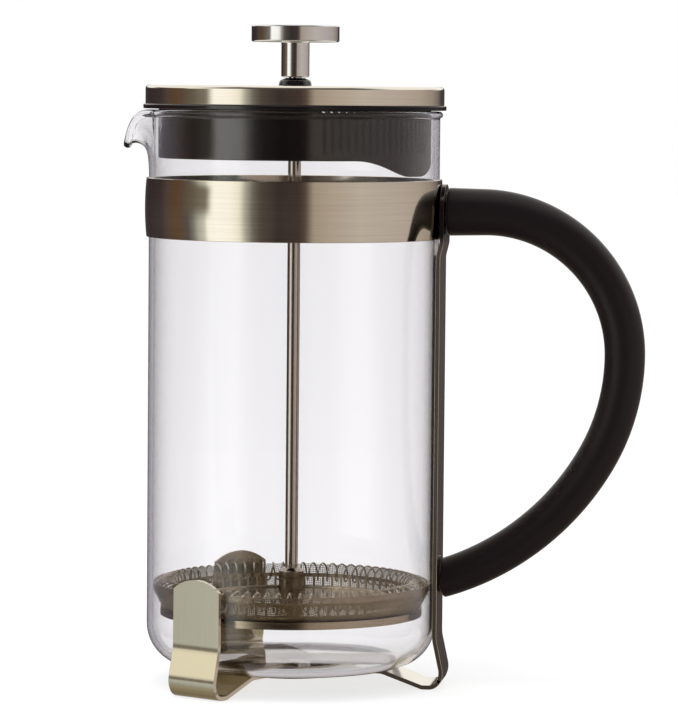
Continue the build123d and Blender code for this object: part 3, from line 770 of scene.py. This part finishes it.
def grip_line(station):
    """Place and heading on the middle line at a distance from its start: a straight run, then arcs."""
    place = np.stack([GRIP_TOP_X + np.minimum(station, GRIP_RUN), GRIP_TOP_Z + 0 * station], -1)
    heading = 0 * station
    corner, start, faced = np.array([GRIP_TOP_X + GRIP_RUN, GRIP_TOP_Z]), GRIP_RUN, 0.0
    for radius, turn in GRIP_BENDS:
        turned_by = np.clip((station - start) / radius, 0, radians(turn))
        centre = corner + radius * np.array([sin(faced), -cos(faced)])
        angle = faced - turned_by
        on_arc = centre - radius * np.stack([np.sin(angle), -np.cos(angle)], -1)
        place = np.where((station > start)[..., None], on_arc, place)
        heading = np.where(station > start, angle, heading)
        faced -= radians(turn)
        corner = centre - radius * np.array([sin(faced), -cos(faced)])
        start += radius * radians(turn)
    return place, heading


def grip_radius(share):
    """Thick at the top, slimming over the first two fifths, and a little more to the lower end."""
    slim = 1 - np.minimum(share / GRIP_SLIM_SHARE, 1)
    middle = GRIP_LOW_R + (GRIP_MIDDLE_R - GRIP_LOW_R) * np.sqrt(1 - share)
    return middle + (GRIP_TOP_R - GRIP_MIDDLE_R) * slim**1.6


def grip_points(station, around, shrink=0.0):
    """Points of the tube's skin; around is the angle in the section, shrink takes off the edges."""
    place, heading = grip_line(station)
    radius = grip_radius(station / grip_length) - shrink
    out = radius * np.cos(around)
    x = place[..., 0] - np.sin(heading) * out
    z = place[..., 1] + np.cos(heading) * out
    return np.stack([x, radius * np.sin(around), z], -1)


# %% Handle: rows of the skin, with rounded ends
section = np.linspace(0, 2 * pi, GRIP_SIDES, endpoint=False)

# Each line of the skin ends where it reaches the lower washer, which cuts that end upright.
fine = np.linspace(0.9, 1.0, 400)[:, None] * grip_length
fine_x = grip_points(fine + 0 * section, section + 0 * fine)[..., 0]
end_station = np.array([np.interp(-GRIP_LOW_X, -fine_x[:, i], fine[:, 0]) for i in range(GRIP_SIDES)])

edge_turn = np.linspace(0, pi / 2, 6)
edge_in = GRIP_EDGE * (1 - np.cos(edge_turn))
edge_off = GRIP_EDGE * (1 - np.sin(edge_turn))
middle_rows = np.linspace(2 * GRIP_EDGE, grip_length - 2 * GRIP_EDGE, GRIP_ROWS)
stations = np.concatenate([edge_in, middle_rows])[:, None] + 0 * section
stretch = 1 + (end_station / grip_length - 1) * np.clip((stations / grip_length - 0.7) / 0.3, 0, 1)
shrink = np.r_[edge_off, np.zeros(GRIP_ROWS)][:, None]
body_rows = grip_points(stations * stretch, section + 0 * stations, shrink)
last_stations = end_station - edge_in[::-1, None]
end_rows = grip_points(last_stations, section + 0 * last_stations, edge_off[::-1, None])
top_middle = np.tile([GRIP_TOP_X, 0, GRIP_TOP_Z], (1, GRIP_SIDES, 1))
low_middle = end_rows[-1:].mean(axis=1, keepdims=True) + 0 * end_rows[-1:]
grip_grid = np.concatenate([top_middle, body_rows, end_rows, low_middle])
grip = make_piece("handle_shell", [(grip_grid, grid_quads(*grip_grid.shape[:2], False, True))], sharp=50)
finish_piece(grip, "stand", "grip_plastic", grip_black, "handle_grip")

# %% [markdown]
# ## The lid
# The steel shell is pressed from plain sheet. Inside sits a black plastic liner, and its flange stands out
# under the shell as a thin black line. Its skirt drops into the beaker, and has a field of fine strainer
# slots and a rounded lobe that can close the spout. Real slots need real walls, so the skirt is made from
# an outer and an inner grid with cells left out, and walls along the edges of the gaps. Cutting the slots
# with booleans would leave a rougher mesh. The same method pierces the filter's rim further down.


# %% Shell with openings
def pierced(outer, inner, keep):
    """Closed shell from two matching grids, with walls round every cell that isn't kept."""
    rows, columns = outer.shape[:2]
    count = rows * columns
    cells = grid_quads(rows, columns, False, True).reshape(rows - 1, columns, 4)
    around = np.pad(keep, ((1, 1), (0, 0)))
    neighbours = (around[:-2], np.roll(keep, -1, 1), around[2:], np.roll(keep, 1, 1))
    faces = [cells[keep], cells[keep][:, ::-1] + count]
    for side, neighbour in enumerate(neighbours):
        edge = cells[keep & ~neighbour][:, [side, (side + 1) % 4]]
        faces.append(np.stack([edge[:, 1], edge[:, 0], edge[:, 0] + count, edge[:, 1] + count], -1))
    return np.concatenate([outer.reshape(-1, 3), inner.reshape(-1, 3)]), np.concatenate(faces)


# %% Steel shell of the lid
LID_SHEET = 0.6
lid_low, lid_high = corners_of("lid_shell")
LID_R = lid_high[1]
bush_low, bush_high = corners_of("lid_bush")
BUSH_HOLE_R = 3.85
shell_outline = rounded(
    [
        (BUSH_HOLE_R, lid_high[2]),
        (LID_R, lid_high[2]),
        (LID_R, lid_low[2]),
        (LID_R - LID_SHEET, lid_low[2]),
        (LID_R - LID_SHEET, lid_high[2] - LID_SHEET),
        (BUSH_HOLE_R, lid_high[2] - LID_SHEET),
    ],
    [0.1, 1.2, 0.2, 0.2, 0.6, 0.1],
)
shell = make_piece("lid_top", [turned(shell_outline, 288)], sharp=50)
finish_piece(shell, "lid", "brushed_sheet", round_steel, "lid_shell")

# %% Plastic liner: body, slotted skirt and lobe
SKIRT_R, SKIRT_WALL = 45.0, 1.8
LOBE_AZIMUTH, LOBE_REACH, LOBE_FLAT = -21.0, 25.5, 3.0
SLOTS, SLOT_PITCH, SLOT_W = 30, 3.35, 1.3
SLOT_Z = (176.4, 188.0)
SKIRT_Z = 174.1
SKIRT_EDGE = 0.45
LINER_WEB, LINER_BAND = 2.0, 1.2
BAND_GAP = 0.7                # between the liner's outer wall and the shell
liner_low, liner_high = corners_of("lid_liner")
web_z = liner_high[2] - LINER_WEB
band_r = LID_R - LID_SHEET - BAND_GAP
flange_r, flange_z = liner_high[1], RIM_Z + RUNNING_GAP
liner_outline = rounded(
    [
        (BUSH_HOLE_R, liner_high[2]),
        (band_r, liner_high[2]),
        (band_r, lid_low[2] - 0.05),
        (flange_r, lid_low[2] - 0.05),
        (flange_r, flange_z),
        (band_r - LINER_BAND, flange_z),
        (band_r - LINER_BAND, web_z),
        (BUSH_HOLE_R, web_z),
    ],
    [0.1, 0.6, 0.1, 0.3, 0.3, 0.2, 0.2, 0.1],
)


def slotted_skirt():
    """Columns stand on the slots' sides. The lower edge dips to the lobe, a circle seen from the side."""
    half_slot = np.degrees(SLOT_W / 2 / SKIRT_R)
    middles = LOBE_AZIMUTH + (np.arange(SLOTS) - (SLOTS - 1) / 2) * SLOT_PITCH
    slot_sides = (middles[:, None] + half_slot * np.array([-1, 0, 1])).ravel()
    rib_middles = middles[:-1] + SLOT_PITCH / 2
    rest = np.arange(slot_sides[-1] + 2, slot_sides[0] + 360 - 1, 2.5)
    azimuth = np.sort(np.concatenate([slot_sides, rib_middles, rest]))
    off = radians(1) * (azimuth - LOBE_AZIMUTH)
    side = SKIRT_R * np.sin(off)
    fall = np.clip((LOBE_REACH - np.abs(side)) / (LOBE_REACH - LOBE_FLAT), 0, 1)
    dip = (SKIRT_Z - liner_low[2]) * (1 - (1 - fall**2) ** 2) ** 0.9
    lower = SKIRT_Z - np.where(np.cos(off) > 0, dip, 0)
    edge = SKIRT_EDGE * (1 - np.cos(np.linspace(0, pi / 2, 4)))
    edge_pull = SKIRT_EDGE * (1 - np.sin(np.linspace(0, pi / 2, 4)))
    rise = lower + edge[-1]
    rows = [lower + edge[:, None], (rise + (SLOT_Z[0] - rise) * np.linspace(0, 1, 5)[:, None])[1:]]
    rows.append(np.linspace(SLOT_Z[0], SLOT_Z[1], 6)[1:, None] + 0 * lower)
    # The last row ends inside the web, so no gap shows between the two.
    rows.append(np.array([[SLOT_Z[1] + 3.0], [web_z + 0.5]]) + 0 * lower)
    height = np.concatenate(rows)
    pull = np.zeros(len(height))
    pull[: len(edge)] = edge_pull
    centre = azimuth + np.diff(np.r_[azimuth, azimuth[0] + 360]) / 2
    in_slot = np.abs(centre[None, :] - middles[:, None]).min(axis=0) < half_slot
    middle_height = (height[:-1] + height[1:]) / 2
    keep = ~((middle_height > SLOT_Z[0]) & (middle_height < SLOT_Z[1]) & in_slot)
    outer = wall_grid(SKIRT_R - pull[:, None], radians(1) * azimuth, height)
    inner = wall_grid(SKIRT_R - SKIRT_WALL + pull[:, None], radians(1) * azimuth, height)
    return pierced(outer, inner, keep)


liner = make_piece("strainer_liner", [turned(liner_outline, 192), slotted_skirt()], sharp=40)
finish_piece(liner, "lid", "liner_plastic", liner_black, "lid_liner")

# %% Guide bush in the middle of the lid
bush_r = bush_high[0]
dome_z = lid_high[2] + 0.05
dome_h = bush_high[2] - dome_z
bush_outline = rounded(
    [
        (2.15, bush_low[2]),
        (3.8, bush_low[2]),
        (3.8, dome_z),
        (bush_r, dome_z),
        (bush_r - 0.45, dome_z + 0.72 * dome_h),
        (3.15, bush_high[2]),
        (2.15, bush_high[2]),
    ],
    [0.1, 0.3, 0.1, 0.25, 1.1, 0.35, 0.15],
    step=9,
)
bush = make_piece("rod_bush", [turned(bush_outline, 96)], sharp=50)
finish_piece(bush, "rod_guide", "liner_plastic", liner_black, "lid_bush")

# %% [markdown]
# ## Knob, rod and hub
# The knob and its stem are turned from one bar and polished. The rod is ground wire, and its hub at the
# bottom holds the filter. A lathe makes all three, so a turned outline is the right tool.

# %% Knob, rod and hub
knob_low, knob_high = corners_of("knob")
rod_low, rod_high = corners_of("plunger_rod")
hub_low, hub_high = corners_of("rod_hub")
KNOB_R, STEM_R, ROD_R, HUB_R = knob_high[1], 4.65, rod_high[0], hub_high[0]
DISC_Z = 212.5
knob_outline = rounded(
    [
        (ROD_R, knob_low[2]),
        (STEM_R, knob_low[2]),
        (STEM_R, DISC_Z),
        (KNOB_R, DISC_Z),
        (KNOB_R, knob_high[2]),
        (0, knob_high[2]),
    ],
    [0, 0.4, 0.35, 0.6, 0.6, 0],
    closed=False,
    step=9,
)
rod_hole = [[0, rod_high[2]], [ROD_R, rod_high[2]]]
knob = make_piece("press_knob", [turned(np.vstack([knob_outline, rod_hole]), 192)], sharp=50)
finish_piece(knob, "plunger", "polished_steel", polished_steel, "knob")

ROD_CHAMFER = 0.4
rod_corners = [
    (0, rod_low[2]),
    (ROD_R - ROD_CHAMFER, rod_low[2]),
    (ROD_R, rod_low[2] + ROD_CHAMFER),
    (ROD_R, rod_high[2]),
    (0, rod_high[2]),
]
rod_outline = rounded(rod_corners, [0, 0.1, 0.1, 0, 0], closed=False)
rod = make_piece("press_rod", [turned(rod_outline, 64, closed=False)])
finish_piece(rod, "plunger", "polished_steel", rod_steel, "plunger_rod")

hub_outline = [
    (ROD_R, hub_low[2]),
    (HUB_R, hub_low[2]),
    (HUB_R, hub_high[2] - 1.1),
    (HUB_R - 1.3, hub_high[2]),
    (ROD_R, hub_high[2]),
]
hub = make_piece("filter_hub", [turned(rounded(hub_outline, [0, 0.2, 0.25, 0.2, 0]), 80)])
finish_piece(hub, "plunger", "polished_steel", hub_steel, "rod_hub")

# %% [markdown]
# ## The filter
# Three layers make the filter: a stiff lower plate, a cup of woven wire, and a dish with a pierced rim.
# A long coil spring is wound through the rim's holes and presses the wire cup against the glass. The coil
# is one closed helix round a ring: a small circle whose phase turns 76 times on the way round.

# %% Pierced dish
TURNS = 76
DISH_T = 0.6
DISH_HOLE_R = 2.2             # hole for the rod's end
HOLE_W, HOLE_Z = 1.9, (27.4, 30.4)
dish_low, dish_high = corners_of("spring_plate")
DISH_R = dish_high[1] - DISH_T / 2


def pierced_dish():
    """Profile of the dish's middle, offset to both sides, with one hole in the rim for each turn."""
    floor_z = dish_low[2] + DISH_T / 2
    rim_rows = np.r_[HOLE_Z[0], 28.2, 29.6, HOLE_Z[1], 31.0, dish_high[2]]
    corner = [(DISH_HOLE_R, floor_z), (DISH_R, floor_z), (DISH_R, 29.0)]
    corner = rounded(corner, [0, 0.75, 0], closed=False, step=14)[:-2]
    middle = np.vstack([corner, np.c_[np.full(len(rim_rows), DISH_R), rim_rows]])
    middle = np.vstack([middle[:1], [[20.0, floor_z]], middle[1:]])
    run = np.gradient(middle, axis=0)
    run /= np.linalg.norm(run, axis=1, keepdims=True)
    normal = np.c_[run[:, 1], -run[:, 0]]
    half_hole = HOLE_W / 2 / DISH_R
    pitch = 2 * pi / TURNS
    azimuth = (np.arange(TURNS)[:, None] * pitch + np.array([-half_hole, 0, half_hole, pitch / 2])).ravel()
    centre = azimuth + np.tile([half_hole / 2, half_hole / 2, 0.6 * half_hole + pitch / 4, pitch / 4], TURNS)
    off_hole = np.abs((centre + pitch / 2) % pitch - pitch / 2)
    z = (middle[:-1, 1] + middle[1:, 1]) / 2
    on_rim = middle[:-1, 0] > DISH_R - 0.01
    keep = ~((on_rim & (z > HOLE_Z[0]) & (z < HOLE_Z[1]))[:, None] & (off_hole < half_hole)[None, :])
    sides = [middle + s * normal * DISH_T / 2 for s in (1, -1)]
    outer, inner = (wall_grid(s[:, :1], azimuth, s[:, 1:]) for s in sides)
    return pierced(outer, inner, keep)


dish = make_piece("pierced_dish", [pierced_dish()], sharp=40)
finish_piece(dish, "filter_pack", "filter_steel", filter_steel, "spring_plate")

# %% Coil spring through the holes
COIL_R, WIRE_R = 3.0, 0.29
COIL_RING_R, COIL_Z = 42.0, 31.9
through_hole = np.arctan2(-np.sqrt(COIL_R**2 - (COIL_RING_R - DISH_R) ** 2), DISH_R - COIL_RING_R)
ring_turn = np.linspace(0, 2 * pi, TURNS * 22, endpoint=False)
phase = TURNS * ring_turn + through_hole


def coil_line(ring, winding):
    """Middle of the wire: a circle of COIL_R that winds as it travels round the ring."""
    return wall_grid(COIL_RING_R + COIL_R * np.cos(winding), ring, COIL_Z + COIL_R * np.sin(winding))


step = 1e-5                   # radians
wire_run = coil_line(ring_turn + step, phase + TURNS * step)
wire_run -= coil_line(ring_turn - step, phase - TURNS * step)
wire_run /= np.linalg.norm(wire_run, axis=1, keepdims=True)
outwards = wall_grid(np.cos(phase), ring_turn, np.sin(phase))
sideways = np.cross(wire_run, outwards)
WIRE_SIDES = 6
wire_section = np.linspace(0, 2 * pi, WIRE_SIDES, endpoint=False)[None, :, None]
coil_grid = coil_line(ring_turn, phase)[:, None] + WIRE_R * (
    np.cos(wire_section) * outwards[:, None] + np.sin(wire_section) * sideways[:, None]
)
coil = make_piece("coil_ring", [(coil_grid, grid_quads(len(phase), WIRE_SIDES, True, True))], sharp=89)
finish_piece(coil, "filter_pack", "filter_steel", spring_wire, "coil_spring")

# %% [markdown]
# ### Woven wire
# The cup is pressed from a flat disc of woven wire. Its wires stay on the flat cloth's square grid, so the
# pattern reads a UV map of the flat disc: the distance along the cup's profile, and the direction. The
# wires are about 0.2 mm thick, so they come from the shader, as relief and as openings between them.

# %% Woven wire finish
WEAVE = 0.00066               # pitch of the weave, in metres
WIRE_FOOT, WIRE_TOP = 0.84, 0.94   # a ridge becomes wire between these heights, and is open below them
woven_wire, tree, shader = new_finish("woven_wire", Metallic=1.0, Roughness=0.34)
cloth = wire(tree, "ShaderNodeUVMap", {"uv_map": "cloth"}).outputs[0]
across_u, across_v, _ = wire(tree, "ShaderNodeSeparateXYZ", i0=cloth).outputs


def ridges(position):
    """Round ridges, one for each pitch of the weave."""
    return calc(tree, "ABSOLUTE", calc(tree, "COSINE", calc(tree, "MULTIPLY", position, pi / WEAVE)))


cloth_height = calc(tree, "MAXIMUM", ridges(across_u), ridges(across_v))
is_wire = spread(tree, cloth_height, WIRE_FOOT, WIRE_TOP, 0.0, 1.0)
tree.links.new(is_wire, shader.inputs["Alpha"])
place = wire(tree, "ShaderNodeTexCoord").outputs["Object"]
stain = wire(tree, "ShaderNodeTexNoise", Vector=place, Scale=90.0, Detail=3.0).outputs[0]
wire_tone = ramp(tree, stain, [(NOISE_LOW, (0.46, 0.38, 0.27)), (NOISE_HIGH, (0.60, 0.52, 0.40))])
tree.links.new(wire_tone, shader.inputs["Base Color"])
weave_bump = wire(tree, "ShaderNodeBump", Strength=0.8, Distance=0.00008, Height=cloth_height)
tree.links.new(weave_bump.outputs[0], shader.inputs["Normal"])

# %% Wire cup
MESH_T = 0.3
mesh_low, mesh_high = corners_of("mesh_screen")
MESH_R = mesh_high[1]
CUP_HOLE_R, CUP_FLOOR_R = 2.3, 43.0
cup_wall_r, cup_floor_z = MESH_R - 0.25, mesh_low[2] + 0.17
cup_corners = [
    (CUP_HOLE_R, cup_floor_z),
    (CUP_FLOOR_R, cup_floor_z),
    (cup_wall_r, 32.0),
    (cup_wall_r, mesh_high[2]),
]
cup_middle = densify(rounded(cup_corners, [0, 1.6, 2.5, 0], closed=False, step=12), 1.6)
cup_along = distance_along(cup_middle) + cup_middle[0, 0]
cup_run = np.gradient(cup_middle, axis=0)
cup_run /= np.linalg.norm(cup_run, axis=1, keepdims=True)
cup_normal = np.c_[cup_run[:, 1], -cup_run[:, 0]]
cup_sides = [cup_middle + cup_normal * MESH_T / 2, (cup_middle - cup_normal * MESH_T / 2)[::-1]]
cup_outline = np.vstack(cup_sides)
cup_flat = np.r_[cup_along, cup_along[::-1]]
CUP_SEGMENTS = 256
cup_turn = np.linspace(0, 2 * pi, CUP_SEGMENTS, endpoint=False)
cup_uv = np.stack([cup_flat[:, None] * np.cos(cup_turn), cup_flat[:, None] * np.sin(cup_turn)], -1)
cup = make_piece("wire_cup", [turned(cup_outline, CUP_SEGMENTS)], sharp=60, uv=("cloth", cup_uv))
finish_piece(cup, "filter_pack", "woven_wire", woven_wire, "mesh_screen")

# %% [markdown]
# ## Pieces that stay as they are
# Screws, inserts, washers and nuts already have their true shape in the frame. They only need a finish.

# %% Finishes for the frame's own pieces
insert_brass = turned_finish(
    "turned_brass", 4.0, 2500.0, (0.2, 0.3), ((0.62, 0.45, 0.20), (0.75, 0.58, 0.30)), 0.000006
)
kept_finishes = {
    "handle_inserts": insert_brass,
    "handle_screws": polished_steel,
    "handle_washers": liner_black,
    "bush_nut": liner_black,
    "filter_nut": polished_steel,
    "cross_plate": filter_steel,
}
for node, finish in kept_finishes.items():
    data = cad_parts[node].data
    data.materials.clear()
    data.materials.append(finish)
print("finished:", ", ".join(kept_finishes))
